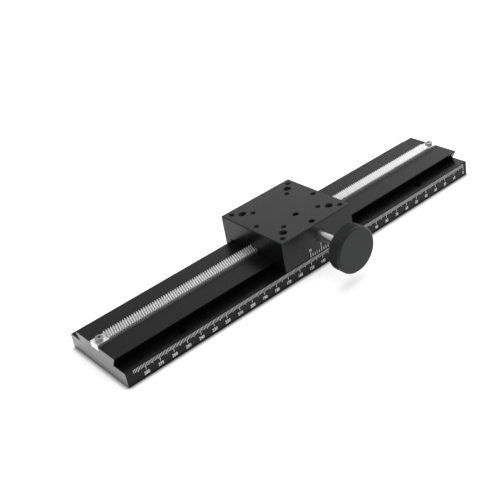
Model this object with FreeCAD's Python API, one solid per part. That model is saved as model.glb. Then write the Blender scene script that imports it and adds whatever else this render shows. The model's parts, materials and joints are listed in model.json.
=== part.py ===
import FreeCAD, Part
import math
import os

# Macro focusing rail. X runs along the rail, the front (knob and scale) faces -Y, +Z is up.
# The origin is the centre of the rail's underside. All sizes are in millimetres.

# Rail
rail_length = 297.0
rail_width = 60.0
ledge_height = 10.4
dovetail_height = 5.8
dovetail_top_width = 42.0
dovetail_angle = 60.0
dovetail_lip = 0.6
rail_edge_chamfer = 0.4

# Rack, let into the top of the dovetail
rack_width = 8.0
rack_height = 5.0
rack_seat_depth = 2.3
rack_end_land = 8.5
tooth_pitch = 1.70
helix_angle = 18.0
pressure_angle = 20.0
tooth_backlash = 0.12
mesh_clearance = 0.05

# Pinion, shaft and bushes
pinion_teeth = 20
pinion_width = 8.0
pinion_hub_diameter = 9.6
pinion_hub_length = 5.0
pinion_pin_diameter = 1.5
shaft_diameter = 6.0
bush_wall = 1.5
rear_bush_length = 12.0
front_bush_recess = 0.5
inner_end_recess = 0.3
washer_thickness = 0.8
washer_diameter = 8.8

# Carriage
carriage_length = 60.0
carriage_width = rail_width
carriage_roof = 1.53
carriage_rest_x = 4.3
carriage_foot_gap = 0.4
carriage_chamfer = 0.5
outer_hole_inset = 5.0
middle_hole_inset = 10.0
inner_hole_inset = 15.0
pattern_hole_depth = 12.0
outer_hole_diameter = 3.3
middle_hole_diameter = 5.0
inner_hole_diameter = 3.3
single_hole_diameter = 3.3
single_hole_inset = 5.0
hole_mouth_chamfer = 0.3

# Gib and lock on the rear side
gib_thickness = 2.5
gib_end_inset = 2.0
gib_screw_inset = 6.0
gib_screw_spacing = 14.0
gib_screw_recess = 1.0
gib_dimple_depth = 0.7
lock_stud_diameter = 4.0
lock_pad_length = 2.0
lock_head_diameter = 11.0
lock_head_length = 9.0
lock_head_gap = 0.8
lock_knurl_count = 36
lock_knurl_depth = 0.3

# Knob
knob_diameter = 30.6
knob_thickness = 9.7
knob_standoff = 23.8
knob_chamfer = 1.0
knob_knurl_count = 84
knob_knurl_depth = 0.35
knob_plain_band = 1.6
knob_bore_depth = 7.5
knob_screw_length = 6.0

# Screws, by thread
m3_diameter = 3.0
m3_head_diameter = 5.5
m3_head_height = 3.0
m3_low_head_height = 2.0
m3_head_chamfer = 0.3
m3_key_width = 2.5
m3_low_key_width = 2.0
m3_grub_key_width = 1.5
socket_depth = 1.5
low_socket_depth = 1.2
end_screw_inset = 4.3
end_screw_length = 8.0
base_screw_length = 12.0
base_screw_grip = 2.5
base_screw_spacing = 70.0
base_screw_count = 4
drag_plug_diameter = 2.4
bush_screw_diameter = 4.0
bush_screw_key_width = 2.0
bush_screw_inset = 5.0
bush_screw_recess = 0.8
bush_screw_spacing = 15.0

# Tripod threads in the underside, and bench holes through the ledges
small_thread_bore = 5.1
small_thread_depth = 7.5
small_thread_spacing = 44.0
large_thread_bore = 8.0
large_thread_depth = 8.2
bench_hole_diameter = 4.5
bench_hole_end_inset = 45.0
bench_hole_edge_inset = 6.0

# Clearances
slide_gap = 0.05
seat_gap = 0.02
run_gap = 0.04
channel_side_gap = 1.2
channel_roof_gap = 0.6
pocket_gap = 0.35
axial_gap = 0.1
counterbore_gap = 0.5

# Heights and half sizes worked out from the above
dovetail_top_z = ledge_height + dovetail_height
rack_seat_z = dovetail_top_z - rack_seat_depth
rack_tip_z = rack_seat_z + rack_height
tooth_module = tooth_pitch / math.pi
rack_root_z = rack_tip_z - 2.25 * tooth_module
pitch_radius = pinion_teeth * tooth_module / 2
pinion_outer_radius = pitch_radius + tooth_module
pinion_root_radius = pitch_radius - 1.25 * tooth_module
shaft_radius = shaft_diameter / 2
shaft_z = rack_tip_z - tooth_module + pitch_radius + mesh_clearance
bush_radius = shaft_radius + bush_wall
pocket_radius = pinion_outer_radius + pocket_gap
carriage_top_z = shaft_z + pocket_radius + carriage_roof
carriage_bottom_z = ledge_height + carriage_foot_gap
slot_roof_z = dovetail_top_z + slide_gap
channel_top_z = rack_tip_z + channel_roof_gap
front_face_y = -carriage_width / 2
rear_face_y = carriage_width / 2
pocket_front_y = -(pinion_width / 2 + washer_thickness + 2 * axial_gap)
pocket_rear_y = pinion_width / 2 + pinion_hub_length + washer_thickness + 2 * axial_gap
knob_back_y = front_face_y - knob_standoff
knob_face_y = knob_back_y - knob_thickness
flank_tan = math.tan(math.radians(dovetail_angle))
flank_sin = math.sin(math.radians(dovetail_angle))
dovetail_root_half = dovetail_top_width / 2 - (dovetail_height - dovetail_lip) / flank_tan
lock_z = (carriage_bottom_z + slot_roof_z) / 2
lock_head_y = rear_face_y + lock_head_gap

X_AXIS = FreeCAD.Vector(1, 0, 0)
Y_AXIS = FreeCAD.Vector(0, 1, 0)
Z_AXIS = FreeCAD.Vector(0, 0, 1)


def point(x, y, z):
    return FreeCAD.Vector(x, y, z)


def block(x_low, x_high, y_low, y_high, z_low, z_high):
    return Part.makeBox(x_high - x_low, y_high - y_low, z_high - z_low, point(x_low, y_low, z_low))


def rod(radius, start, axis, length):
    return Part.makeCylinder(radius, length, start, axis)


def rod_along_y(radius, x, y_low, y_high, z):
    return rod(radius, point(x, y_low, z), Y_AXIS, y_high - y_low)


def rod_along_z(radius, x, y, z_low, z_high):
    return rod(radius, point(x, y, z_low), Z_AXIS, z_high - z_low)


def section_face(corners_yz, x):
    """A flat face across the rail from (y, z) corners."""
    outline = [point(x, y, z) for y, z in corners_yz]
    return Part.Face(Part.makePolygon(outline + outline[:1]))


def bar_along_x(corners_yz, x_low, x_high):
    return section_face(corners_yz, x_low).extrude(point(x_high - x_low, 0, 0))


def hexagon_key(across_flats, start, axis, depth):
    """A hexagonal prism that cuts a key socket."""
    corner_radius = across_flats / math.sqrt(3)
    side = Z_AXIS if abs(axis.z) < 0.5 else X_AXIS
    other = axis.cross(side)
    corners = []
    for step in range(6):
        angle = math.radians(60 * step)
        outward = side * math.cos(angle) + other * math.sin(angle)
        corners.append(start + outward * corner_radius)
    return Part.Face(Part.makePolygon(corners + corners[:1])).extrude(axis * depth)


def cap_screw(seat, axis, length, head_height, key_width, key_depth):
    """M3 socket-head screw. The head stands from the seat against the axis."""
    top = seat - axis * head_height
    head = rod(m3_head_diameter / 2, top, axis, head_height)
    rim = [edge for edge in head.Edges if edge.Closed and abs((edge.CenterOfMass - top).dot(axis)) < 0.01]
    head = head.makeChamfer(m3_head_chamfer, rim)
    shank = rod(m3_diameter / 2 - seat_gap, seat, axis, length)
    key = hexagon_key(key_width, top, axis, key_depth)
    return head.fuse(shank).removeSplitter().cut(key)


def grub_screw(tip, axis, length, diameter=m3_diameter, key_width=m3_grub_key_width):
    """A grub screw, M3 unless another size is given. The axis points from the socket to the tip."""
    body = rod(diameter / 2 - seat_gap, tip - axis * length, axis, length)
    return body.cut(hexagon_key(key_width, tip - axis * length, axis, socket_depth))


def fluted_disc(radius, depth, count, x, y_low, y_high, z, chamfer, plain_band=0):
    """A disc along Y with straight knurling and a chamfer at each end of its rim.
    The knurling stops short of the low end by the plain band."""
    corners = []
    for step in range(2 * count):
        angle = math.pi * step / count
        reach = radius if step % 2 == 0 else radius - depth
        corners.append(point(x + reach * math.cos(angle), y_low, z + reach * math.sin(angle)))
    fluted = Part.Face(Part.makePolygon(corners + corners[:1])).extrude(point(0, y_high - y_low, 0))
    if plain_band:
        fluted = fluted.fuse(rod_along_y(radius, x, y_low, y_low + plain_band, z))
    plain = rod_along_y(radius, x, y_low, y_high, z)
    rims = [edge for edge in plain.Edges if abs(edge.Length - 2 * math.pi * radius) < 0.01]
    return fluted.common(plain.makeChamfer(chamfer, rims))


def corner_places(x_half, y_half):
    return [(x, y) for x in (-x_half, x_half) for y in (-y_half, y_half)]


def base_screw_places():
    first = -base_screw_spacing * (base_screw_count - 1) / 2
    return [first + base_screw_spacing * step for step in range(base_screw_count)]


def end_screw_places():
    reach = rail_length / 2 - end_screw_inset
    return [-reach, reach]


def flank_y(z, offset):
    """Distance of the dovetail's flank from the centre plane, moved out by an offset square to it."""
    return dovetail_root_half + (z - ledge_height) / flank_tan + offset / flank_sin


def make_rail():
    half = rail_width / 2
    edge = rail_edge_chamfer
    right_side = [
        (half - edge, 0),
        (half, edge),
        (half, ledge_height - edge),
        (half - edge, ledge_height),
        (dovetail_root_half, ledge_height),
        (dovetail_top_width / 2, dovetail_top_z - dovetail_lip),
        (dovetail_top_width / 2, dovetail_top_z),
    ]
    left_side = [(-y, z) for y, z in reversed(right_side)]
    rail = bar_along_x(right_side + left_side, -rail_length / 2, rail_length / 2)
    groove_half = rack_width / 2 + seat_gap
    cuts = [block(-rail_length, rail_length, -groove_half, groove_half, rack_seat_z, rack_tip_z + 1)]
    for x in end_screw_places():
        hole_bottom = rack_root_z - end_screw_length - counterbore_gap
        cuts.append(rod_along_z(m3_diameter / 2, x, 0, hole_bottom, rack_tip_z))
    head_seat_z = base_screw_seat()
    for x in base_screw_places():
        cuts.append(rod_along_z(m3_diameter / 2 + seat_gap, x, 0, head_seat_z, rack_tip_z))
        cuts.append(rod_along_z(m3_head_diameter / 2 + counterbore_gap, x, 0, -1, head_seat_z))
    bench_x = rail_length / 2 - bench_hole_end_inset
    bench_y = half - bench_hole_edge_inset
    for x, y in corner_places(bench_x, bench_y):
        cuts.append(rod_along_z(bench_hole_diameter / 2, x, y, -1, dovetail_top_z))
    for x in (-small_thread_spacing / 2, small_thread_spacing / 2):
        cuts.append(rod_along_z(small_thread_bore / 2, x, 0, -1, small_thread_depth))
    cuts.append(rod_along_z(large_thread_bore / 2, 0, 0, -1, large_thread_depth))
    return rail.cut(cuts)


def base_screw_seat():
    """Height at which the heads of the rack's underside screws seat."""
    return rack_seat_z + base_screw_grip - base_screw_length


def rack_teeth(toothed_half):
    """Helical teeth: the end-on tooth profile drawn once along X and pushed askew across the rack."""
    slope = math.tan(math.radians(pressure_angle))
    half_at_pitch = tooth_pitch / 4 - tooth_backlash / 4
    half_at_tip = half_at_pitch - tooth_module * slope
    half_at_root = half_at_pitch + 1.25 * tooth_module * slope
    lean = rack_width * math.tan(math.radians(helix_angle))
    count = int((toothed_half + lean) / tooth_pitch) + 1
    outline = [((-count - 0.5) * tooth_pitch - half_at_root - 1, rack_seat_z)]
    outline.append((outline[0][0], rack_root_z))
    for step in range(-count - 1, count + 1):
        centre = (step + 0.5) * tooth_pitch
        outline.append((centre - half_at_root, rack_root_z))
        outline.append((centre - half_at_tip, rack_tip_z))
        outline.append((centre + half_at_tip, rack_tip_z))
        outline.append((centre + half_at_root, rack_root_z))
    outline.append((outline[-1][0] + 1, rack_root_z))
    outline.append((outline[-1][0], rack_seat_z))
    corners = [point(x - lean / 2, -rack_width / 2, z) for x, z in outline]
    profile = Part.Face(Part.makePolygon(corners + corners[:1]))
    return profile.extrude(point(lean, rack_width, 0))


def make_rack():
    half = rail_length / 2
    toothed_half = half - rack_end_land
    toothed_zone = block(-toothed_half, toothed_half, -rack_width, rack_width, 0, rack_tip_z + 1)
    rack = rack_teeth(toothed_half).common(toothed_zone)
    for low, high in ((-half, -toothed_half), (toothed_half, half)):
        rack = rack.fuse(block(low, high, -rack_width / 2, rack_width / 2, rack_seat_z, rack_root_z))
    cuts = [rod_along_z(m3_diameter / 2 + run_gap, x, 0, 0, rack_tip_z) for x in end_screw_places()]
    for x in base_screw_places():
        cuts.append(rod_along_z(m3_diameter / 2, x, 0, 0, rack_seat_z + base_screw_grip + inner_end_recess))
    return rack.removeSplitter().cut(cuts)


def make_end_screws():
    """Low-headed, so that they stand only a little over the teeth."""
    screws = []
    for x in end_screw_places():
        seat = point(x, 0, rack_root_z)
        kind = (m3_low_head_height, m3_low_key_width, low_socket_depth)
        screws.append(cap_screw(seat, -Z_AXIS, end_screw_length, *kind))
    return Part.makeCompound(screws)


def make_base_screws():
    screws = []
    for x in base_screw_places():
        seat = point(x, 0, base_screw_seat())
        kind = (m3_head_height, m3_key_width, socket_depth)
        screws.append(cap_screw(seat, Z_AXIS, base_screw_length, *kind))
    return Part.makeCompound(screws)


def gib_screw_places():
    outer = carriage_length / 2 - gib_screw_inset
    inner = outer - gib_screw_spacing
    return [carriage_rest_x + x for x in (-outer, -inner, inner, outer)]


def gib_tip_y():
    """Where the gib screws and the lock pad end, a little way into the gib's dimples."""
    return flank_y(lock_z, slide_gap + gib_thickness) - gib_dimple_depth


def bush_screw_places():
    first = front_face_y + bush_screw_inset
    return [first, first + bush_screw_spacing]


def tapped_hole(diameter, x, y, depth):
    """A drilled hole in the carriage's top with a small chamfer at its mouth."""
    radius = diameter / 2
    hole = rod_along_z(radius, x, y, carriage_top_z - depth, carriage_top_z + 1)
    mouth_base = point(x, y, carriage_top_z - hole_mouth_chamfer)
    mouth = Part.makeCone(radius, radius + hole_mouth_chamfer, hole_mouth_chamfer, mouth_base)
    return hole.fuse(mouth)


def carriage_top_holes():
    holes = []
    patterns = (
        (outer_hole_inset, outer_hole_diameter),
        (middle_hole_inset, middle_hole_diameter),
        (inner_hole_inset, inner_hole_diameter),
    )
    for inset, diameter in patterns:
        for x, y in corner_places(carriage_length / 2 - inset, carriage_width / 2 - inset):
            holes.append(tapped_hole(diameter, carriage_rest_x + x, y, pattern_hole_depth))
    for side in (-1, 1):
        x = carriage_rest_x + side * (carriage_length / 2 - single_hole_inset)
        holes.append(tapped_hole(single_hole_diameter, x, 0, pattern_hole_depth / 2))
    for y in bush_screw_places():
        holes.append(tapped_hole(bush_screw_diameter, carriage_rest_x, y, carriage_top_z - shaft_z))
    return holes


def carriage_slot():
    """The dovetail slot, wider at the rear where the gib sits, and the channel over the rack."""
    low = carriage_bottom_z - 1
    rear_offset = 2 * slide_gap + gib_thickness
    corners = [
        (-flank_y(low, slide_gap), low),
        (-flank_y(slot_roof_z, slide_gap), slot_roof_z),
        (flank_y(slot_roof_z, rear_offset), slot_roof_z),
        (flank_y(low, rear_offset), low),
    ]
    x_low = carriage_rest_x - carriage_length
    x_high = carriage_rest_x + carriage_length
    channel_half = rack_width / 2 + channel_side_gap
    channel = block(x_low, x_high, -channel_half, channel_half, slot_roof_z - 1, channel_top_z)
    return [bar_along_x(corners, x_low, x_high), channel]


def carriage_shaft_bores():
    x = carriage_rest_x
    pocket_top = rod_along_y(pocket_radius, x, pocket_front_y, pocket_rear_y, shaft_z)
    low_z = slot_roof_z - 1
    pocket_low = block(x - pocket_radius, x + pocket_radius, pocket_front_y, pocket_rear_y, low_z, shaft_z)
    bore_end_y = pocket_rear_y + rear_bush_length
    bore = rod_along_y(bush_radius + seat_gap, x, front_face_y - 1, bore_end_y, shaft_z)
    return [pocket_top, pocket_low, bore]


def make_carriage():
    x_low = carriage_rest_x - carriage_length / 2
    x_high = carriage_rest_x + carriage_length / 2
    body = block(x_low, x_high, front_face_y, rear_face_y, carriage_bottom_z, carriage_top_z)
    outer_edges = [edge for edge in body.Edges if edge.BoundBox.ZMax > carriage_top_z - 0.01]
    body = body.makeChamfer(carriage_chamfer, outer_edges)
    cuts = carriage_slot() + carriage_shaft_bores() + carriage_top_holes()
    tip_y = gib_tip_y()
    for x in gib_screw_places():
        cuts.append(rod_along_y(m3_diameter / 2, x, tip_y, rear_face_y + 1, lock_z))
    cuts.append(rod_along_y(lock_stud_diameter / 2, carriage_rest_x, tip_y, rear_face_y + 1, lock_z))
    return body.cut(cuts)


def make_gib():
    low = carriage_bottom_z + seat_gap
    high = slot_roof_z - run_gap
    inner, outer = slide_gap, slide_gap + gib_thickness
    corners = [
        (flank_y(low, inner), low),
        (flank_y(high, inner), high),
        (flank_y(high, outer), high),
        (flank_y(low, outer), low),
    ]
    reach = carriage_length / 2 - gib_end_inset
    gib = bar_along_x(corners, carriage_rest_x - reach, carriage_rest_x + reach)
    dimples = [rod_along_y(m3_diameter / 2, x, gib_tip_y(), rear_face_y, lock_z) for x in gib_screw_places()]
    dimples.append(rod_along_y(lock_stud_diameter / 2, carriage_rest_x, gib_tip_y(), rear_face_y, lock_z))
    return gib.cut(dimples)


def make_gib_screws():
    tip_y = gib_tip_y()
    length = rear_face_y - gib_screw_recess - tip_y
    screws = [grub_screw(point(x, tip_y, lock_z), -Y_AXIS, length) for x in gib_screw_places()]
    return Part.makeCompound(screws)


def make_lock_pad():
    radius = lock_stud_diameter / 2 - run_gap
    return rod_along_y(radius, carriage_rest_x, gib_tip_y(), gib_tip_y() + lock_pad_length, lock_z)


def lock_stud_start_y():
    return gib_tip_y() + lock_pad_length + seat_gap


def make_lock_stud():
    end_y = lock_head_y + lock_head_length * 0.8
    return rod_along_y(lock_stud_diameter / 2 - run_gap, carriage_rest_x, lock_stud_start_y(), end_y, lock_z)


def make_lock_head():
    head = fluted_disc(
        lock_head_diameter / 2,
        lock_knurl_depth,
        lock_knurl_count,
        carriage_rest_x,
        lock_head_y,
        lock_head_y + lock_head_length,
        lock_z,
        knob_chamfer,
    )
    bore_radius = lock_stud_diameter / 2 - run_gap + seat_gap
    bore_end_y = lock_head_y + lock_head_length * 0.8 + seat_gap
    return head.cut(rod_along_y(bore_radius, carriage_rest_x, lock_head_y - 1, bore_end_y, lock_z))


def bush(y_low, y_high):
    outside = rod_along_y(bush_radius, carriage_rest_x, y_low, y_high, shaft_z)
    return outside.cut(rod_along_y(shaft_radius + run_gap, carriage_rest_x, y_low - 1, y_high + 1, shaft_z))


def make_front_bush():
    ring = bush(front_face_y + front_bush_recess, pocket_front_y)
    plug_y = bush_screw_places()[1]
    plug_radius = drag_plug_diameter / 2 + seat_gap
    return ring.cut(rod_along_z(plug_radius, carriage_rest_x, plug_y, shaft_z, carriage_top_z))


def make_rear_bush():
    return bush(pocket_rear_y, pocket_rear_y + rear_bush_length - seat_gap)


def make_drag_plug():
    plug_y = bush_screw_places()[1]
    low = shaft_z + shaft_radius + seat_gap
    return rod_along_z(drag_plug_diameter / 2, carriage_rest_x, plug_y, low, shaft_z + bush_radius)


def make_bush_screws():
    """The tips rest on the bush and on the drag plug, and the sockets end just under the top."""
    tip_z = shaft_z + bush_radius + seat_gap
    length = carriage_top_z - bush_screw_recess - tip_z
    screws = []
    for y in bush_screw_places():
        tip = point(carriage_rest_x, y, tip_z)
        screws.append(grub_screw(tip, -Z_AXIS, length, bush_screw_diameter, bush_screw_key_width))
    return Part.makeCompound(screws)


def involute(angle):
    return math.tan(angle) - angle


def pinion_outline(turn):
    """Corners (x, z) of the pinion seen end on, with a tooth pointing down at no turn."""
    transverse = math.radians(pressure_angle)
    base_radius = pitch_radius * math.cos(transverse)
    tooth_half_angle = math.pi / (2 * pinion_teeth) - tooth_backlash / (4 * pitch_radius)
    flank = [(pinion_root_radius, tooth_half_angle + involute(transverse))]
    steps = 3
    for step in range(steps + 1):
        radius = base_radius + (pinion_outer_radius - base_radius) * step / steps
        pressure = math.acos(base_radius / radius)
        flank.append((radius, tooth_half_angle + involute(transverse) - involute(pressure)))
    corners = []
    for tooth in range(pinion_teeth):
        centre = 2 * math.pi * tooth / pinion_teeth + turn
        for radius, half_angle in flank:
            corners.append((radius, centre - half_angle))
        for radius, half_angle in reversed(flank):
            corners.append((radius, centre + half_angle))
    return [(radius * math.sin(angle), -radius * math.cos(angle)) for radius, angle in corners]


def make_pinion():
    """Lofted through turned sections, so that its teeth follow the rack's lean."""
    sections = []
    slices = 6
    for step in range(slices + 1):
        y = pinion_width * (step / slices - 0.5)
        turn = y * math.tan(math.radians(helix_angle)) / pitch_radius - carriage_rest_x / pitch_radius
        outline = pinion_outline(turn)
        corners = [point(carriage_rest_x + x, y, shaft_z + z) for x, z in outline]
        sections.append(Part.makePolygon(corners + corners[:1]))
    gear = Part.makeLoft(sections, True, True)
    half = pinion_width / 2
    hub = rod_along_y(pinion_hub_diameter / 2, carriage_rest_x, half, half + pinion_hub_length, shaft_z)
    bore = rod_along_y(shaft_radius + seat_gap, carriage_rest_x, -pinion_width, 2 * pinion_width, shaft_z)
    return gear.fuse(hub).cut([bore, pin_hole()])


def pin_rod(radius, reach):
    """A rod across the shaft, through the middle of the pinion's hub."""
    y = pinion_width / 2 + pinion_hub_length / 2
    return rod(radius, point(carriage_rest_x, y, shaft_z - reach), Z_AXIS, 2 * reach)


def pin_hole():
    return pin_rod(pinion_pin_diameter / 2 + seat_gap, pinion_hub_diameter)


def make_pinion_pin():
    return pin_rod(pinion_pin_diameter / 2, pinion_hub_diameter / 2 - seat_gap)


def make_pinion_shaft():
    low = knob_back_y - knob_bore_depth + seat_gap
    high = pocket_rear_y + rear_bush_length - inner_end_recess
    shaft = rod_along_y(shaft_radius, carriage_rest_x, low, high, shaft_z)
    return shaft.cut(pin_hole())


def make_thrust_washers():
    half = pinion_width / 2
    starts = (-half - axial_gap - washer_thickness, half + pinion_hub_length + axial_gap)
    washers = []
    for low in starts:
        high = low + washer_thickness
        disc = rod_along_y(washer_diameter / 2, carriage_rest_x, low, high, shaft_z)
        bore = rod_along_y(shaft_radius + seat_gap, carriage_rest_x, low - 1, high + 1, shaft_z)
        washers.append(disc.cut(bore))
    return Part.makeCompound(washers)


def knob_screw_y():
    return knob_back_y - knob_bore_depth / 2


def make_knob():
    x = carriage_rest_x
    disc = fluted_disc(
        knob_diameter / 2,
        knob_knurl_depth,
        knob_knurl_count,
        x,
        knob_face_y,
        knob_back_y,
        shaft_z,
        knob_chamfer,
        knob_plain_band,
    )
    bore = rod_along_y(shaft_radius + seat_gap, x, knob_back_y - knob_bore_depth, 0, shaft_z)
    screw_hole = rod(m3_diameter / 2, point(x, knob_screw_y(), shaft_z), X_AXIS, knob_diameter)
    return disc.cut([bore, screw_hole])


def make_knob_screw():
    tip = point(carriage_rest_x + shaft_radius + seat_gap, knob_screw_y(), shaft_z)
    return grub_screw(tip, -X_AXIS, knob_screw_length)


PIECES = {
    "rail": make_rail,
    "rack": make_rack,
    "rack_end_screws": make_end_screws,
    "rack_base_screws": make_base_screws,
    "carriage": make_carriage,
    "gib_strip": make_gib,
    "gib_screws": make_gib_screws,
    "front_bush": make_front_bush,
    "rear_bush": make_rear_bush,
    "bush_screws": make_bush_screws,
    "drag_plug": make_drag_plug,
    "lock_pad": make_lock_pad,
    "lock_stud": make_lock_stud,
    "lock_head": make_lock_head,
    "pinion_shaft": make_pinion_shaft,
    "pinion": make_pinion,
    "pinion_pin": make_pinion_pin,
    "thrust_washers": make_thrust_washers,
    "knob": make_knob,
    "knob_set_screw": make_knob_screw,
}

os.makedirs("parts", exist_ok=True)
for name, make in PIECES.items():
    shape = make()
    if not shape.isValid():
        raise RuntimeError(name + " is not a valid shape")
    shape.exportStep("parts/" + name + ".step")
    box = shape.BoundBox
    size = " x ".join("%.2f" % value for value in (box.XLength, box.YLength, box.ZLength))
    print(name, size, "solids", len(shape.Solids), "volume %.1f" % shape.Volume)
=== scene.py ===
import json
import math

import bmesh
import bpy
from bpy.props import FloatProperty, FloatVectorProperty, IntProperty, PointerProperty, StringProperty
from mathutils import Matrix, Vector


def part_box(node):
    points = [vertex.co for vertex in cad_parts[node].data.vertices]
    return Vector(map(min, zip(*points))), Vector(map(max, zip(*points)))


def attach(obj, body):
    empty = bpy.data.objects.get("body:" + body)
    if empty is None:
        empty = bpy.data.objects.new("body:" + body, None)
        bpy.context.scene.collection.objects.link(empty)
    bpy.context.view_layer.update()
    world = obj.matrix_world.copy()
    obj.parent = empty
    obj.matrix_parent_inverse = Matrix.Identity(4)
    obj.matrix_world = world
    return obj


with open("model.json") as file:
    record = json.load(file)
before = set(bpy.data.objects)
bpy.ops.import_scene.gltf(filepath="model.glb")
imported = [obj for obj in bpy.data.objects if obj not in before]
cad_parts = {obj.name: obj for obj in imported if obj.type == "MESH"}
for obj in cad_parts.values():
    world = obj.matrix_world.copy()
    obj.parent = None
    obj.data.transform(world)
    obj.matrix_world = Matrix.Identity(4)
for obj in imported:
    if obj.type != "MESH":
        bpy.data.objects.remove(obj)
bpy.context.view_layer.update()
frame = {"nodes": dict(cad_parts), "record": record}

bl_info = {
    "name": "Macro focusing rail",
    "version": (1, 0, 0),
    "blender": (4, 5, 0),
    "location": "View3D > Sidebar > Focusing rail",
    "description": "Dresses a rack and pinion focusing rail: engraved scales, finishes, white studio",
    "category": "Object",
}

RAIL_LOW, RAIL_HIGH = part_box("rail")
CARRIAGE_LOW, CARRIAGE_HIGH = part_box("carriage")
SHAFT_LOW, SHAFT_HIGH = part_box("pinion_shaft")
RACK_LOW, RACK_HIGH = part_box("rack")
SHAFT_X = (SHAFT_LOW.x + SHAFT_HIGH.x) / 2
SHAFT_Z = (SHAFT_LOW.z + SHAFT_HIGH.z) / 2
CARRIAGE_X = (CARRIAGE_LOW.x + CARRIAGE_HIGH.x) / 2

# A point within this depth of a face counts as lying on it.
FACE_DEPTH = 0.00005

# How deep an engraved mark's filling sits in its face, and how far it stands out.
MARK_SINK = 0.00006
MARK_PROUD = 0.000015

# Corners closer together than this are one corner.
WELD_REACH = 0.0000002

# A digit's height, stroke gain and width as shares of the plain typeface's. The cutter leaves strokes
# broader, and digits narrower, than that typeface.
DIGIT_HEIGHT = 0.73
DIGIT_STROKE = 0.035
DIGIT_WIDTH = 0.85

# From the rack's tips down to where the painted shade of the tooth gaps begins and to their roots, where it
# is full, and each flat end.
TOOTH_BRIGHT_DEPTH = 0.0009
TOOTH_DARK_DEPTH = 0.0012
RACK_FLAT_END = 0.0085

# Pitch in metres of the thread that each tap drill is for, by the drill's radius in millimetres.
THREAD_PITCHES = {1.65: 0.0007, 2.5: 0.001, 2.55: 0.00127, 4.0: 0.0015875}

# A thread's ridge at its foot, as a share of its pitch, and how deep the foot sits in the hole's wall.
THREAD_FOOT = 0.7
THREAD_SINK = 0.00005

# Most values of a noise pattern lie between these two.
NOISE_LOW = 0.3
NOISE_HIGH = 0.7

# How much of a bump pattern's real depth shows in the shading.
BUMP_STRENGTH = 0.6


def length(name, default, description):
    """A size in metres that can be set in the panel's settings."""
    return FloatProperty(
        name=name, default=default, description=description, subtype="DISTANCE", unit="LENGTH")


def number(name, default, description):
    """A plain number that can be set in the panel's settings."""
    return FloatProperty(name=name, default=default, description=description)


def power(name, default, description):
    """A lamp's power in watts."""
    return FloatProperty(name=name, default=default, description=description, unit="POWER")


def place(name, default, description):
    """A point or a direction in the frame shared with the solids."""
    return FloatVectorProperty(name=name, default=default, description=description, subtype="XYZ")


def hex_colour(name, default, description):
    """A colour as an sRGB hex value."""
    return StringProperty(name=name, default=default, description=description)


class ScaleSizes(bpy.types.PropertyGroup):
    """The millimetre scale engraved on the rail's front face."""

    zero_x: length("Zero mark", 0.145, "Place of the zero mark, from which the scale runs towards -X")
    spacing: length("Spacing", 0.001, "From one mark to the next")
    count: IntProperty(name="Spaces", default=288, description="Number of spaces in the whole scale")
    last_number: IntProperty(name="Last number", default=280, description="The highest engraved number")
    top_z: length("Top of the marks", 0.00995, "Height at which every mark starts")
    short: length("Short mark", 0.0025, "Length of a mark at each millimetre")
    middle: length("Middle mark", 0.0033, "Length of a mark at each five")
    long: length("Long mark", 0.0046, "Length of a mark at each ten")
    width: length("Mark width", 0.00030, "Width of each mark")
    number_height: length("Number height", 0.0022, "Height of the digits")
    number_z: length("Number place", 0.0031, "Height of the middle of the digits")


class VernierSizes(bpy.types.PropertyGroup):
    """The vernier engraved at the foot of the carriage's front face."""

    zero_offset: length("Zero mark", 0.0103, "Place of the zero mark from the carriage's middle")
    spacing: length("Spacing", 0.0019, "From one mark to the next")
    count: IntProperty(name="Spaces", default=10, description="Number of spaces in the vernier")
    foot_gap: length("Foot gap", 0.0001, "From the carriage's foot to the marks")
    short: length("Short mark", 0.0022, "Length of a plain mark")
    long: length("Long mark", 0.0036, "Length of the marks at zero, five and ten")
    width: length("Mark width", 0.00044, "Width of each mark")
    number_height: length("Number height", 0.0019, "Height of the digits")
    number_rise: length("Number rise", 0.001425, "From a long mark's top to the middle of its digits")


class ThreadSizes(bpy.types.PropertyGroup):
    """The screw threads that show in the mouths of the tapped holes."""

    ridge: length("Ridge", 0.00022, "How far a thread's crest stands in from the wall of its hole")
    turns: IntProperty(name="Turns", default=6, description="Turns of thread shown under each mouth")
    mouth_gap: length("Mouth gap", 0.0004, "From the mouth to the first turn, past the small chamfer")
    steps: IntProperty(name="Steps", default=24, description="Straight steps in one turn")


class FinishColours(bpy.types.PropertyGroup):
    """Colours of the finishes, as sRGB hex values."""

    anodised_rail: hex_colour("Anodised rail", "#0B0B0C", "Black anodising on the rail")
    anodised_carriage: hex_colour("Anodised carriage", "#0F1011", "Black anodising on the carriage")
    anodised_knob: hex_colour("Anodised knob", "#191A1B", "Black anodising on the knob and the lock head")
    bare_aluminium: hex_colour("Bare aluminium", "#808081", "Sawn and milled ends of the rail")
    bright_steel: hex_colour("Bright steel", "#DCDCDC", "Shaft and lock stud")
    screw_steel: hex_colour("Screw steel", "#A4A4A5", "Plain screws and the pinion's pin")
    rack_steel: hex_colour("Rack steel", "#F6F6F6", "The rack's teeth and its flat ends")
    # Painted shade: the grey that the roots of the rack's teeth are painted with.
    tooth_gap: hex_colour("Tooth gap", "#9C9C9C", "The roots of the rack's teeth, where old grease gathers")
    black_oxide: hex_colour("Black oxide", "#161617", "Grub screws")
    brass: hex_colour("Brass", "#C9A661", "Pinion, gib and lock pad")
    bearing_plastic: hex_colour("Bearing plastic", "#121213", "The two bushes")
    acetal: hex_colour("Acetal", "#E2E0DA", "Thrust washers and drag plug")
    mark_filling: hex_colour("Mark filling", "#FAFAF8", "Pale filling of the engraved marks")


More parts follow.
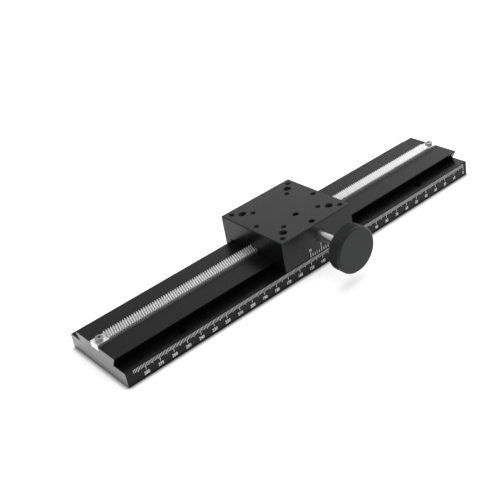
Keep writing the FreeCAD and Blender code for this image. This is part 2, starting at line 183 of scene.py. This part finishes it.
class StageSettings(bpy.types.PropertyGroup):
    """Camera, lamps and floor."""

    camera_place: place("Camera place", (-0.31625, -0.41469, 0.32720), "Camera position")
    camera_right: place("Camera right", (0.75191, -0.63980, -0.15901), "Picture's right")
    camera_up: place("Camera up", (0.44564, 0.31551, 0.83777), "Picture's up")
    focal_length: number("Focal length", 66.82, "Lens, in millimetres")
    film_width: number("Film width", 36.0, "Width of the film, in millimetres")
    near_limit: length("Near limit", 0.01, "Closest distance that the camera sees")
    floor_size: length("Floor size", 6.0, "Side of the square floor")
    floor_colour: hex_colour("Floor", "#F7F7F7", "Colour of the floor")
    floor_glow: number("Floor glow", 0.45, "Pale light that the floor adds to the picture")
    # The painted close shadow on the floor.
    contact_reach: length("Contact reach", 0.003, "How far the close shadow reaches over the floor")
    contact_depth: number("Contact depth", 3.0, "How fast the floor's glow fades under the foot")
    sky_strength: number("Sky strength", 0.50, "Strength of the even light around")
    left_sheen: number("Left sheen", 0.50, "What polished faces see towards -X")
    right_sheen: number("Right sheen", 1.12, "What polished faces see towards +X")
    sheen_start: number("Sheen start", 0.1, "Share of +X in a direction at which the sheen starts to grow")
    sheen_end: number("Sheen end", 0.65, "Share of +X in a direction at which the sheen is full")
    back_power: power("Back power", 3.4, "Power of the lamp behind")
    back_place: place("Back place", (0.9, 0.3, 0.85), "Place of the lamp behind")
    back_size: length("Back size", 0.6, "Side of the square lamp behind")
    top_power: power("Top power", 4.6, "Power of the overhead lamp")
    top_place: place("Top place", (0.1, -0.1, 1.15), "Place of the overhead lamp")
    top_size: length("Top size", 0.9, "Side of the square overhead lamp")


def linear(hex_value):
    """An sRGB hex value as linear red, green, blue and alpha."""
    channels = [int(hex_value[start:start + 2], 16) / 255 for start in (1, 3, 5)]
    return [c / 12.92 if c <= 0.04045 else ((c + 0.055) / 1.055) ** 2.4 for c in channels] + [1.0]


def add_node(tree, kind, inputs=None, **settings):
    """Adds a node, sets its options, and fills its sockets with values or with other nodes' outputs."""
    node = tree.nodes.new(kind)
    for name, value in settings.items():
        setattr(node, name, value)
    for name, value in (inputs or {}).items():
        if isinstance(value, bpy.types.NodeSocket):
            tree.links.new(value, node.inputs[name])
        else:
            node.inputs[name].default_value = value
    return node


def new_finish(name):
    """An empty material, with its node tree and its Principled shader."""
    material = bpy.data.materials.new(name)
    material.use_nodes = True
    tree = material.node_tree
    return material, tree, tree.nodes["Principled BSDF"]


def stretched_noise(tree, grains):
    """Noise whose grain has the given size along each axis, in metres."""
    where = add_node(tree, "ShaderNodeTexCoord")
    mapping = add_node(tree, "ShaderNodeMapping", {
        "Vector": where.outputs["Object"], "Scale": [1 / grain for grain in grains]})
    return add_node(tree, "ShaderNodeTexNoise", {
        "Vector": mapping.outputs["Vector"], "Scale": 1.0, "Detail": 2.0, "Roughness": 0.6})


def vary(tree, factor, low, high):
    """Turns a noise factor into a number between low and high."""
    spread = add_node(tree, "ShaderNodeMapRange", {
        "Value": factor, "From Min": NOISE_LOW, "From Max": NOISE_HIGH, "To Min": low, "To Max": high})
    return spread.outputs["Result"]


def tint(tree, factor, colour, spread):
    """The colour made a little darker and lighter by a noise factor."""
    dark = [c * (1 - spread) for c in colour[:3]] + [1.0]
    light = [c * (1 + spread) for c in colour[:3]] + [1.0]
    ramp = add_node(tree, "ShaderNodeValToRGB", {"Fac": factor})
    ramp.color_ramp.elements[0].position = NOISE_LOW
    ramp.color_ramp.elements[0].color = dark
    ramp.color_ramp.elements[1].position = NOISE_HIGH
    ramp.color_ramp.elements[1].color = light
    return ramp.outputs["Color"]


def roughen(tree, shader, height, depth):
    """Raises the surface by a height pattern of the given real depth, in metres."""
    bump = add_node(tree, "ShaderNodeBump", {
        "Height": height, "Strength": BUMP_STRENGTH, "Distance": depth})
    tree.links.new(bump.outputs["Normal"], shader.inputs["Normal"])


def anodised_extrusion(name, colour, bare_colour, end_x):
    """Black anodised extruded aluminium: satin, with faint die lines along it.
    Beyond end_x the sawn ends are bare, with the fine lines of the saw."""
    material, tree, shader = new_finish(name)
    die_lines = stretched_noise(tree, (0.12, 0.0006, 0.0006))
    grain = stretched_noise(tree, (0.0005, 0.0005, 0.0005))
    saw_lines = stretched_noise(tree, (0.001, 0.02, 0.00035))
    where = add_node(tree, "ShaderNodeTexCoord")
    split = add_node(tree, "ShaderNodeSeparateXYZ", {"Vector": where.outputs["Object"]})
    reach = add_node(tree, "ShaderNodeMath", {0: split.outputs["X"]}, operation="ABSOLUTE")
    is_end = add_node(tree, "ShaderNodeMath", {
        0: reach.outputs[0], 1: end_x}, operation="GREATER_THAN").outputs[0]
    black = tint(tree, die_lines.outputs["Fac"], colour, spread=0.16)
    bare = tint(tree, saw_lines.outputs["Fac"], bare_colour, spread=0.12)
    # A Mix node takes its two colours at sockets 6 and 7, and gives the mixed one at output 2.
    mixed = add_node(tree, "ShaderNodeMix", {0: is_end, 6: black, 7: bare}, data_type="RGBA")
    tree.links.new(mixed.outputs[2], shader.inputs["Base Color"])
    metal = add_node(tree, "ShaderNodeMath", {0: is_end, 1: 0.85}, operation="MULTIPLY")
    tree.links.new(metal.outputs[0], shader.inputs["Metallic"])
    shader.inputs["Specular IOR Level"].default_value = 0.18
    tree.links.new(vary(tree, grain.outputs["Fac"], low=0.22, high=0.30), shader.inputs["Roughness"])
    height = add_node(tree, "ShaderNodeMath", {
        0: die_lines.outputs["Fac"], 1: grain.outputs["Fac"]}, operation="ADD")
    roughen(tree, shader, height.outputs[0], depth=0.000012)
    return material


def anodised_milled(name, colour):
    """Black anodised milled aluminium: satin, with the cutter's fine overlapping marks under the black."""
    material, tree, shader = new_finish(name)
    passes = stretched_noise(tree, (0.0004, 0.014, 0.0012))
    grain = stretched_noise(tree, (0.00045, 0.00045, 0.00045))
    tree.links.new(tint(tree, passes.outputs["Fac"], colour, spread=0.08), shader.inputs["Base Color"])
    shader.inputs["Specular IOR Level"].default_value = 0.30
    tree.links.new(vary(tree, grain.outputs["Fac"], low=0.22, high=0.33), shader.inputs["Roughness"])
    height = add_node(tree, "ShaderNodeMath", {
        0: passes.outputs["Fac"], 1: grain.outputs["Fac"]}, operation="ADD")
    roughen(tree, shader, height.outputs[0], depth=0.000010)
    return material


def anodised_turned(name, colour, centre):
    """Black anodised turned aluminium: satin, with the lathe's fine rings round its axis."""
    material, tree, shader = new_finish(name)
    where = add_node(tree, "ShaderNodeTexCoord")
    mapping = add_node(tree, "ShaderNodeMapping", {
        "Vector": where.outputs["Object"], "Location": (-centre[0], 0, -centre[1])})
    # The lathe's real feed of about 0.1 mm is drawn as 0.4 mm rings, so that it shows. The rings of a wave
    # texture of scale 1 are a tenth of pi apart.
    ring_gap = 0.0004
    rings = add_node(tree, "ShaderNodeTexWave", {
        "Vector": mapping.outputs["Vector"], "Scale": math.pi / 10 / ring_gap,
        "Distortion": 0.0, "Detail": 1.0}, wave_type="RINGS", rings_direction="Y")
    grain = stretched_noise(tree, (0.0005, 0.0005, 0.0005))
    tree.links.new(tint(tree, grain.outputs["Fac"], colour, spread=0.08), shader.inputs["Base Color"])
    shader.inputs["Specular IOR Level"].default_value = 0.30
    tree.links.new(vary(tree, grain.outputs["Fac"], low=0.36, high=0.46), shader.inputs["Roughness"])
    height = add_node(tree, "ShaderNodeMath", {
        0: rings.outputs["Fac"], 1: grain.outputs["Fac"]}, operation="ADD")
    roughen(tree, shader, height.outputs[0], depth=0.000006)
    return material


def bright_metal(name, colour, roughness, grains, depth=0.000004):
    """Bare metal with fine tool marks of the given grain."""
    material, tree, shader = new_finish(name)
    marks = stretched_noise(tree, grains)
    tree.links.new(tint(tree, marks.outputs["Fac"], colour, spread=0.08), shader.inputs["Base Color"])
    shader.inputs["Metallic"].default_value = 1.0
    sheen = vary(tree, marks.outputs["Fac"], roughness - 0.06, roughness + 0.08)
    tree.links.new(sheen, shader.inputs["Roughness"])
    roughen(tree, shader, marks.outputs["Fac"], depth)
    return material


def within(tree, value, reach):
    """1 where a coordinate lies closer to zero than reach, in metres."""
    size = add_node(tree, "ShaderNodeMath", {0: value}, operation="ABSOLUTE")
    return add_node(tree, "ShaderNodeMath", {0: size.outputs[0], 1: reach}, operation="LESS_THAN").outputs[0]


def milled_teeth(name, colour, root_shade_colour, toothed_x, side_y, root_z, tip_z):
    """Milled steel rack: bright worn teeth, with painted shade that turns them greyer towards their roots.
    The flat ends beyond toothed_x and the sides beyond side_y stay bright."""
    material, tree, shader = new_finish(name)
    marks = stretched_noise(tree, (0.01, 0.0004, 0.0004))
    where = add_node(tree, "ShaderNodeTexCoord")
    split = add_node(tree, "ShaderNodeSeparateXYZ", {"Vector": where.outputs["Object"]})
    depth = add_node(tree, "ShaderNodeMapRange", {
        "Value": split.outputs["Z"], "From Min": root_z, "From Max": tip_z, "To Min": 1.0, "To Max": 0.0})
    along = within(tree, split.outputs["X"], toothed_x)
    across = within(tree, split.outputs["Y"], side_y)
    toothed = add_node(tree, "ShaderNodeMath", {0: along, 1: across}, operation="MULTIPLY")
    # Painted shade: the colour goes from bright to the root grey between tip_z and root_z, on the toothed
    # middle only.
    dark = add_node(tree, "ShaderNodeMath", {
        0: depth.outputs["Result"], 1: toothed.outputs[0]}, operation="MULTIPLY")
    bright = tint(tree, marks.outputs["Fac"], colour, spread=0.10)
    mixed = add_node(tree, "ShaderNodeMix", {
        0: dark.outputs[0], 6: bright, 7: root_shade_colour}, data_type="RGBA")
    tree.links.new(mixed.outputs[2], shader.inputs["Base Color"])
    shader.inputs["Metallic"].default_value = 1.0
    tree.links.new(vary(tree, marks.outputs["Fac"], low=0.30, high=0.44), shader.inputs["Roughness"])
    roughen(tree, shader, marks.outputs["Fac"], depth=0.000004)
    return material


def plain_filling(name, colour, roughness):
    """Matt filling or plain plastic with a slightly uneven skin."""
    material, tree, shader = new_finish(name)
    skin = stretched_noise(tree, (0.0003, 0.0003, 0.0003))
    tree.links.new(tint(tree, skin.outputs["Fac"], colour, spread=0.05), shader.inputs["Base Color"])
    sheen = vary(tree, skin.outputs["Fac"], roughness - 0.06, roughness + 0.06)
    tree.links.new(sheen, shader.inputs["Roughness"])
    roughen(tree, shader, skin.outputs["Fac"], depth=0.000006)
    return material


def dress(node_name, material):
    """Gives a CAD node its finish."""
    for slot in frame["nodes"][node_name].material_slots:
        slot.material = material


def finish_piece(mesh, name, body, material):
    """Makes an object of a finished mesh and sets it on its body."""
    piece = bpy.data.objects.new(name, mesh)
    bpy.context.scene.collection.objects.link(piece)
    mesh.materials.clear()
    mesh.materials.append(material)
    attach(piece, body)


def add_mark(bm, x, low_z, high_z, width, face_y):
    """One engraved line: a thin closed slip let into the face at face_y, which looks towards -Y."""
    size = Vector((width, MARK_SINK + MARK_PROUD, high_z - low_z))
    middle = Vector((x, face_y + (MARK_SINK - MARK_PROUD) / 2, (low_z + high_z) / 2))
    slip = Matrix.Translation(middle) @ Matrix.Diagonal(size.to_4d())
    bmesh.ops.create_cube(bm, size=1.0, matrix=slip)


def add_number(bm, text, x, z, height, face_y):
    """One engraved number, upright on a face that looks towards -Y."""
    curve = bpy.data.curves.new("number", "FONT")
    curve.body = text
    curve.align_x = "CENTER"
    curve.align_y = "CENTER"
    curve.size = height / DIGIT_HEIGHT
    curve.extrude = (MARK_SINK + MARK_PROUD) / 2
    curve.offset = height * DIGIT_STROKE
    curve.resolution_u = 3
    holder = bpy.data.objects.new("number", curve)
    bpy.context.scene.collection.objects.link(holder)
    bpy.context.view_layer.update()
    mesh = bpy.data.meshes.new_from_object(holder)
    mesh.transform(Matrix.Rotation(math.pi / 2, 4, "X") @ Matrix.Scale(DIGIT_WIDTH, 4, (1, 0, 0)))
    mesh.transform(Matrix.Translation((x, face_y + (MARK_SINK - MARK_PROUD) / 2, z)))
    bm.from_mesh(mesh)
    bpy.data.objects.remove(holder)
    bpy.data.curves.remove(curve)
    bpy.data.meshes.remove(mesh)


def mesh_from(bm, name):
    """Turns a finished bmesh into a mesh whose faces look outwards."""
    bmesh.ops.remove_doubles(bm, verts=bm.verts, dist=WELD_REACH)
    bmesh.ops.recalc_face_normals(bm, faces=bm.faces)
    mesh = bpy.data.meshes.new(name)
    bm.to_mesh(mesh)
    bm.free()
    return mesh


def hole_places(mount):
    """Mouths of the holes of one of the record's mounts."""
    x, y, z = mount["pos_m"]
    # Half of each spacing, in metres.
    half_x = mount["dims"].get("spacing_x_mm", 0) / 2000
    half_y = mount["dims"].get("spacing_y_mm", 0) / 2000
    return sorted({(x + i * half_x, y + j * half_y, z) for i in (-1, 1) for j in (-1, 1)})


def add_thread(bm, mouth, inward, radius, pitch, sizes):
    """A helical ridge on the wall of a hole, which goes up from its mouth where inward is 1, and down
    where it is -1."""
    x, y, z = mouth
    z += inward * sizes.mouth_gap
    wall = radius + THREAD_SINK
    foot = inward * pitch * THREAD_FOOT
    profile = [(x + wall, y, z), (x + wall, y, z + foot), (x + radius - sizes.ridge, y, z + foot / 2)]
    corners = [bm.verts.new(corner) for corner in profile]
    edges = [bm.edges.new((corners[i], corners[(i + 1) % 3])) for i in range(3)]
    steps = sizes.turns * sizes.steps
    rise = Vector((0, 0, inward * pitch * sizes.turns / steps))
    made = bmesh.ops.spin(
        bm, geom=corners + edges, cent=(x, y, z), axis=(0, 0, 1), dvec=rise,
        angle=2 * math.pi * sizes.turns, steps=steps, use_merge=False)
    last = [item for item in made["geom_last"] if isinstance(item, bmesh.types.BMEdge)]
    bmesh.ops.holes_fill(bm, edges=edges + last, sides=3)


def thread_piece(name, body, material, mounts):
    """One object that holds the threads of every hole of the given mounts."""
    sizes = bpy.context.scene.thread_sizes
    bm = bmesh.new()
    for mount in mounts:
        drill = mount["dims"].get("hole_r_mm", mount["dims"].get("r_mm"))
        for mouth in hole_places(mount):
            add_thread(bm, mouth, -mount["axis"][2], drill / 1000, THREAD_PITCHES[drill], sizes)
    finish_piece(mesh_from(bm, name), name, body, material)


def filling():
    """The one pale filling that both scales share."""
    name = "pale engraving filling"
    colour = linear(bpy.context.scene.finish_colours.mark_filling)
    return bpy.data.materials.get(name) or plain_filling(name, colour, roughness=0.6)


class FOCUSRAIL_OT_scale(bpy.types.Operator):
    """Engrave the millimetre scale and its numbers on the rail's front face"""

    bl_idname = "focusrail.scale"
    bl_label = "Rail scale"

    def execute(self, context):
        sizes = context.scene.scale_sizes
        bm = bmesh.new()
        for step in range(sizes.count + 1):
            x = sizes.zero_x - step * sizes.spacing
            reach = sizes.long if step % 10 == 0 else sizes.middle if step % 5 == 0 else sizes.short
            add_mark(bm, x, sizes.top_z - reach, sizes.top_z, sizes.width, RAIL_LOW.y)
            if step % 10 == 0 and step <= sizes.last_number:
                add_number(bm, str(step), x, sizes.number_z, sizes.number_height, RAIL_LOW.y)
        finish_piece(mesh_from(bm, "rail_scale"), "rail_scale", "rail", filling())
        return {"FINISHED"}


class FOCUSRAIL_OT_vernier(bpy.types.Operator):
    """Engrave the vernier at the foot of the carriage's front face"""

    bl_idname = "focusrail.vernier"
    bl_label = "Carriage vernier"

    def execute(self, context):
        sizes = context.scene.vernier_sizes
        low_z = CARRIAGE_LOW.z + sizes.foot_gap
        bm = bmesh.new()
        for step in range(sizes.count + 1):
            x = CARRIAGE_X + sizes.zero_offset - step * sizes.spacing
            is_long = step % 5 == 0
            reach = sizes.long if is_long else sizes.short
            add_mark(bm, x, low_z, low_z + reach, sizes.width, CARRIAGE_LOW.y)
            if is_long:
                number_z = low_z + reach + sizes.number_rise
                add_number(bm, str(step), x, number_z, sizes.number_height, CARRIAGE_LOW.y)
        mesh = mesh_from(bm, "carriage_vernier")
        finish_piece(mesh, "carriage_vernier", "carriage", filling())
        return {"FINISHED"}


class FOCUSRAIL_OT_rail_finish(bpy.types.Operator):
    """Finish the rail and its rack"""

    bl_idname = "focusrail.rail_finish"
    bl_label = "Rail and rack"

    def execute(self, context):
        colours = context.scene.finish_colours
        black = linear(colours.anodised_rail)
        bare = linear(colours.bare_aluminium)
        end_x = RAIL_HIGH.x - FACE_DEPTH
        dress("rail", anodised_extrusion("black anodised extrusion", black, bare, end_x))
        steel = linear(colours.rack_steel)
        # The tooth roots get painted shade.
        gap = linear(colours.tooth_gap)
        toothed_x = RACK_HIGH.x - RACK_FLAT_END
        side_y = RACK_HIGH.y - FACE_DEPTH
        root_z = RACK_HIGH.z - TOOTH_DARK_DEPTH
        tip_z = RACK_HIGH.z - TOOTH_BRIGHT_DEPTH
        dress("rack", milled_teeth("milled steel rack", steel, gap, toothed_x, side_y, root_z, tip_z))
        return {"FINISHED"}


class FOCUSRAIL_OT_carriage_finish(bpy.types.Operator):
    """Finish the carriage, its gib and its bushes"""

    bl_idname = "focusrail.carriage_finish"
    bl_label = "Carriage, gib and bushes"

    def execute(self, context):
        colours = context.scene.finish_colours
        milling = (0.006, 0.0004, 0.0004)
        brass = bright_metal("milled brass", linear(colours.brass), roughness=0.32, grains=milling)
        dress("carriage", anodised_milled("black anodised milled block", linear(colours.anodised_carriage)))
        dress("gib_strip", brass)
        dress("lock_pad", brass)
        bearing = plain_filling("black bearing plastic", linear(colours.bearing_plastic), roughness=0.5)
        dress("front_bush", bearing)
        dress("rear_bush", bearing)
        dress("drag_plug", plain_filling("white acetal", linear(colours.acetal), roughness=0.45))
        return {"FINISHED"}


class FOCUSRAIL_OT_threads(bpy.types.Operator):
    """Cut the threads that show in the carriage's top and in the rail's underside"""

    bl_idname = "focusrail.threads"
    bl_label = "Screw threads"

    def execute(self, context):
        mounts = {mount["name"]: mount for mount in frame["record"]["mounts"]}
        top = [mounts[name] for name in ("outer_pattern", "middle_pattern", "inner_pattern", "side_pair")]
        block = bpy.data.materials["black anodised milled block"]
        thread_piece("carriage_threads", "carriage", block, top)
        under = [mounts[name] for name in ("large_tripod_thread", "small_tripod_threads")]
        extrusion = bpy.data.materials["black anodised extrusion"]
        thread_piece("tripod_threads", "rail", extrusion, under)
        return {"FINISHED"}


class FOCUSRAIL_OT_drive_finish(bpy.types.Operator):
    """Finish the knob, the shaft and the pinion"""

    bl_idname = "focusrail.drive_finish"
    bl_label = "Knob, shaft and pinion"

    def execute(self, context):
        colours = context.scene.finish_colours
        black = linear(colours.anodised_knob)
        dress("knob", anodised_turned("black anodised turned knob", black, (SHAFT_X, SHAFT_Z)))
        # Turned with a fine feed: its rings round the axis are too fine to see one by one.
        turning = (0.0006, 0.0002, 0.0006)
        bright = linear(colours.bright_steel)
        steel = bright_metal("turned steel shaft", bright, roughness=0.27, grains=turning, depth=0.000001)
        dress("pinion_shaft", steel)
        dress("lock_stud", steel)
        hobbing = (0.0005, 0.002, 0.0005)
        brass = bright_metal("hobbed brass", linear(colours.brass), roughness=0.3, grains=hobbing)
        dress("pinion", brass)
        dress("thrust_washers", bpy.data.materials["white acetal"])
        return {"FINISHED"}


class FOCUSRAIL_OT_lock_finish(bpy.types.Operator):
    """Finish the lock's knurled head"""

    bl_idname = "focusrail.lock_finish"
    bl_label = "Lock head"

    def execute(self, context):
        low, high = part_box("lock_head")
        centre = ((low.x + high.x) / 2, (low.z + high.z) / 2)
        colour = linear(context.scene.finish_colours.anodised_knob)
        dress("lock_head", anodised_turned("black anodised turned head", colour, centre))
        return {"FINISHED"}


class FOCUSRAIL_OT_screw_finish(bpy.types.Operator):
    """Finish every screw and pin"""

    bl_idname = "focusrail.screw_finish"
    bl_label = "Screws and pins"

    def execute(self, context):
        colours = context.scene.finish_colours
        even = (0.0004, 0.0004, 0.0004)
        steel = bright_metal("plain steel screws", linear(colours.screw_steel), roughness=0.3, grains=even)
        for name in ("rack_end_screws", "rack_base_screws", "pinion_pin"):
            dress(name, steel)
        oxide = linear(colours.black_oxide)
        black = bright_metal("black oxide steel screws", oxide, roughness=0.4, grains=even)
        for name in ("gib_screws", "bush_screws", "knob_set_screw"):
            dress(name, black)
        return {"FINISHED"}


def add_lamp(name, where, size, energy):
    """A square lamp that looks at the middle of the rail's foot."""
    lamp = bpy.data.lights.new(name, "AREA")
    lamp.shape = "SQUARE"
    lamp.size = size
    lamp.energy = energy
    holder = bpy.data.objects.new(name, lamp)
    bpy.context.scene.collection.objects.link(holder)
    turn = (-Vector(where)).to_track_quat("-Z", "Y").to_matrix().to_4x4()
    holder.matrix_world = Matrix.Translation(where) @ turn


def light_world(stage):
    """White to the camera and through clear glass. Polished faces see a white room that is about half as
    bright towards -X, and matt ones are lit evenly from all around."""
    world = bpy.data.worlds.new("white studio")
    world.use_nodes = True
    tree = world.node_tree
    ground = tree.nodes["Background"]
    ground.inputs["Color"].default_value = (1, 1, 1, 1)
    direction = add_node(tree, "ShaderNodeTexCoord")
    split = add_node(tree, "ShaderNodeSeparateXYZ", {"Vector": direction.outputs["Generated"]})
    sheen = add_node(tree, "ShaderNodeMapRange", {
        "Value": split.outputs["X"], "From Min": stage.sheen_start, "From Max": stage.sheen_end,
        "To Min": stage.left_sheen, "To Max": stage.right_sheen})
    path = add_node(tree, "ShaderNodeLightPath")
    lit = add_node(tree, "ShaderNodeMix", {
        0: path.outputs["Is Glossy Ray"], 2: stage.sky_strength, 3: sheen.outputs["Result"]},
        data_type="FLOAT")
    clear = add_node(tree, "ShaderNodeMath", {
        0: path.outputs["Is Camera Ray"], 1: path.outputs["Is Transmission Ray"]}, operation="MAXIMUM")
    level = add_node(tree, "ShaderNodeMix", {
        0: clear.outputs[0], 2: lit.outputs[0], 3: 1.0}, data_type="FLOAT")
    tree.links.new(level.outputs[0], ground.inputs["Strength"])
    bpy.context.scene.world = world


def make_floor(stage):
    """A plain matt white floor that keeps the object's shadow, with a painted close shadow near its foot,
    and glows a little where it is seen.
    """
    bm = bmesh.new()
    bmesh.ops.create_grid(bm, x_segments=1, y_segments=1, size=stage.floor_size / 2)
    mesh = mesh_from(bm, "floor")
    floor = bpy.data.objects.new("floor", mesh)
    bpy.context.scene.collection.objects.link(floor)
    material, tree, shader = new_finish("matt white floor")
    shader.inputs["Roughness"].default_value = 0.9
    shader.inputs["Specular IOR Level"].default_value = 0.1
    path = add_node(tree, "ShaderNodeLightPath")
    mirrored = add_node(tree, "ShaderNodeMath", {
        0: path.outputs["Is Glossy Ray"], 1: path.outputs["Is Transmission Ray"]}, operation="MAXIMUM")
    shown = add_node(tree, "ShaderNodeMath", {
        0: path.outputs["Is Camera Ray"], 1: mirrored.outputs[0]}, operation="MAXIMUM")
    # Painted close shadow: the floor's colour, and its glow more strongly, are darkened by ambient occlusion
    # in the last few millimetres before the object's foot.
    corner = add_node(tree, "ShaderNodeAmbientOcclusion", {
        "Color": linear(stage.floor_colour), "Distance": stage.contact_reach}, samples=8)
    tree.links.new(corner.outputs["Color"], shader.inputs["Base Color"])
    # The glow fades with the painted close shadow, faster as contact_depth grows.
    painted_shadow_fade = add_node(tree, "ShaderNodeMath", {
        0: corner.outputs["AO"], 1: stage.contact_depth}, operation="POWER")
    glow = add_node(tree, "ShaderNodeMath", {
        0: painted_shadow_fade.outputs[0], 1: stage.floor_glow}, operation="MULTIPLY")
    strength = add_node(tree, "ShaderNodeMath", {
        0: glow.outputs[0], 1: shown.outputs[0]}, operation="MULTIPLY")
    shader.inputs["Emission Color"].default_value = (1, 1, 1, 1)
    tree.links.new(strength.outputs[0], shader.inputs["Emission Strength"])
    mesh.materials.append(material)


class FOCUSRAIL_OT_stage(bpy.types.Operator):
    """Set the floor, the lamps, the world and the camera"""

    bl_idname = "focusrail.stage"
    bl_label = "Studio stage"

    def execute(self, context):
        stage = context.scene.stage_settings
        make_floor(stage)
        light_world(stage)
        add_lamp("back_lamp", stage.back_place, stage.back_size, stage.back_power)
        add_lamp("top_lamp", stage.top_place, stage.top_size, stage.top_power)
        camera = bpy.data.objects.new("camera", bpy.data.cameras.new("camera"))
        context.scene.collection.objects.link(camera)
        camera.data.lens = stage.focal_length
        camera.data.sensor_width = stage.film_width
        camera.data.clip_start = stage.near_limit
        right = Vector(stage.camera_right).normalized()
        up = Vector(stage.camera_up)
        back = right.cross(up).normalized()
        up = back.cross(right)
        turn = Matrix((right, up, back)).transposed().to_4x4()
        camera.matrix_world = Matrix.Translation(Vector(stage.camera_place)) @ turn
        context.scene.camera = camera
        context.scene.view_settings.view_transform = "Standard"
        return {"FINISHED"}


class FOCUSRAIL_PT_panel(bpy.types.Panel):
    """Lists the steps that dress the focusing rail"""

    bl_label = "Focusing rail"
    bl_idname = "FOCUSRAIL_PT_panel"
    bl_space_type = "VIEW_3D"
    bl_region_type = "UI"
    bl_category = "Focusing rail"

    def draw(self, context):
        for operator in OPERATORS:
            self.layout.operator(operator.bl_idname)


GROUPS = {
    "scale_sizes": ScaleSizes,
    "vernier_sizes": VernierSizes,
    "thread_sizes": ThreadSizes,
    "finish_colours": FinishColours,
    "stage_settings": StageSettings,
}
OPERATORS = (
    FOCUSRAIL_OT_scale,
    FOCUSRAIL_OT_vernier,
    FOCUSRAIL_OT_rail_finish,
    FOCUSRAIL_OT_carriage_finish,
    FOCUSRAIL_OT_threads,
    FOCUSRAIL_OT_drive_finish,
    FOCUSRAIL_OT_lock_finish,
    FOCUSRAIL_OT_screw_finish,
    FOCUSRAIL_OT_stage,
)


def register():
    for name, group in GROUPS.items():
        bpy.utils.register_class(group)
        setattr(bpy.types.Scene, name, PointerProperty(type=group))
    for operator in OPERATORS:
        bpy.utils.register_class(operator)
    bpy.utils.register_class(FOCUSRAIL_PT_panel)


def unregister():
    bpy.utils.unregister_class(FOCUSRAIL_PT_panel)
    for operator in reversed(OPERATORS):
        bpy.utils.unregister_class(operator)
    for name, group in GROUPS.items():
        delattr(bpy.types.Scene, name)
        bpy.utils.unregister_class(group)


def main():
    register()
    for operator in OPERATORS:
        getattr(bpy.ops.focusrail, operator.bl_idname.split(".")[1])()


if __name__ == "__main__":
    main()
